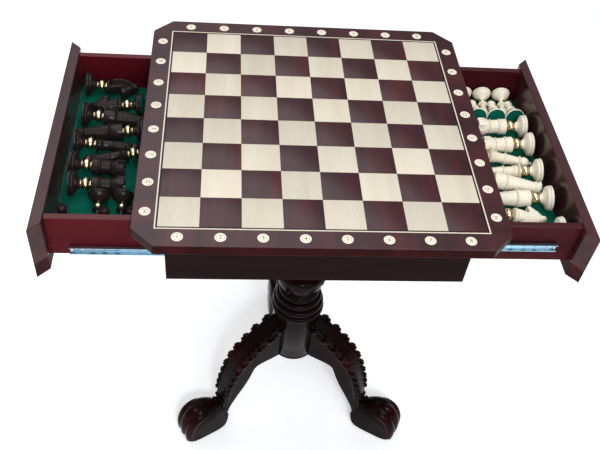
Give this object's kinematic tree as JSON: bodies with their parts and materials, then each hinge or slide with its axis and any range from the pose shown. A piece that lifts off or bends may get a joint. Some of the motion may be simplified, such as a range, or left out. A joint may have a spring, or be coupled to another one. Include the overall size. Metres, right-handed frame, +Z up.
{
  "type": "gaming table",
  "caption": "Square chess table with an inlaid board top, two pull-out side drawers with felt trays, and a turned pedestal on three carved cabriole legs with paw feet.",
  "frame": {"origin": "on the floor, under the middle of the top and midway between the two open drawers", "axes": "+Z up, +X towards the right-hand drawer, -Y towards the player who sits in front"},
  "size_m": [0.774, 0.506, 0.726],
  "materials": {
    "beech": "bare beech",
    "bright_steel": "bright steel",
    "cage_brass": "stamped brass, plain",
    "case_wood": "stained plywood, matt",
    "dark_wood": "black-brown stain with red rub-through, gloss lacquer",
    "ebony": "black-brown stringing line, satin",
    "felt": "green baize",
    "mahogany": "dark mahogany veneer, satin lacquer",
    "maple": "light maple veneer, satin lacquer",
    "red_stained_wood": "red mahogany stain, satin",
    "sole_pad": "dark rubber, matt",
    "zinc_steel": "blue zinc plate"
  },
  "bodies": {
    "table": {"apron_back": "mahogany", "apron_front": "mahogany", "case_bottom": "case_wood", "centre_divider": "case_wood", "column": "dark_wood", "front_cleat": "case_wood", "front_left_foot_pad": "sole_pad", "front_left_leg": "dark_wood", "front_left_lower_dowel": "beech", "front_left_upper_dowel": "beech", "front_right_foot_pad": "sole_pad", "front_right_leg": "dark_wood", "front_right_lower_dowel": "beech", "front_right_upper_dowel": "beech", "hub": "dark_wood", "hub_cap": "dark_wood", "hub_nut": "bright_steel", "hub_washer": "bright_steel", "left_far_cabinet_member": "zinc_steel", "left_near_cabinet_member": "zinc_steel", "mounting_plate": "dark_wood", "plate_nut": "bright_steel", "plate_screw_1": "bright_steel", "plate_screw_2": "bright_steel", "plate_screw_3": "bright_steel", "plate_screw_4": "bright_steel", "playing_field": "maple", "rear_cleat": "case_wood", "rear_foot_pad": "sole_pad", "rear_leg": "dark_wood", "rear_lower_dowel": "beech", "rear_upper_dowel": "beech", "right_far_cabinet_member": "zinc_steel", "right_near_cabinet_member": "zinc_steel", "stringing_dark": "ebony", "stringing_light": "maple", "tabletop": "mahogany", "tie_rod": "bright_steel"},
    "left_drawer": {"left_drawer_back": "red_stained_wood", "left_drawer_bottom": "red_stained_wood", "left_drawer_far_side": "red_stained_wood", "left_drawer_felt": "felt", "left_drawer_front": "mahogany", "left_drawer_near_side": "red_stained_wood", "left_far_drawer_member": "zinc_steel", "left_near_drawer_member": "zinc_steel"},
    "left_cages": {"left_far_ball_cage": "cage_brass", "left_near_ball_cage": "cage_brass"},
    "right_drawer": {"right_drawer_back": "red_stained_wood", "right_drawer_bottom": "red_stained_wood", "right_drawer_far_side": "red_stained_wood", "right_drawer_felt": "felt", "right_drawer_front": "mahogany", "right_drawer_near_side": "red_stained_wood", "right_far_drawer_member": "zinc_steel", "right_near_drawer_member": "zinc_steel"},
    "right_cages": {"right_far_ball_cage": "cage_brass", "right_near_ball_cage": "cage_brass"}
  },
  "joints": [
    {"name": "left_drawer_slide", "type": "slide", "parent": "table", "child": "left_drawer", "axis": [-1, 0, 0], "range_m": [-0.174, 0]},
    {"name": "left_cage_roll", "type": "slide", "parent": "table", "child": "left_cages", "axis": [-1, 0, 0], "range_m": [-0.0872, 0.0002]},
    {"name": "right_drawer_slide", "type": "slide", "parent": "table", "child": "right_drawer", "axis": [1, 0, 0], "range_m": [-0.174, 0]},
    {"name": "right_cage_roll", "type": "slide", "parent": "table", "child": "right_cages", "axis": [1, 0, 0], "range_m": [-0.0872, 0.0002]}
  ],
  "couplings": [
    {"joint": "left_cage_roll", "follows": "left_drawer_slide", "ratio": 0.5},
    {"joint": "right_cage_roll", "follows": "right_drawer_slide", "ratio": 0.5}
  ]
}
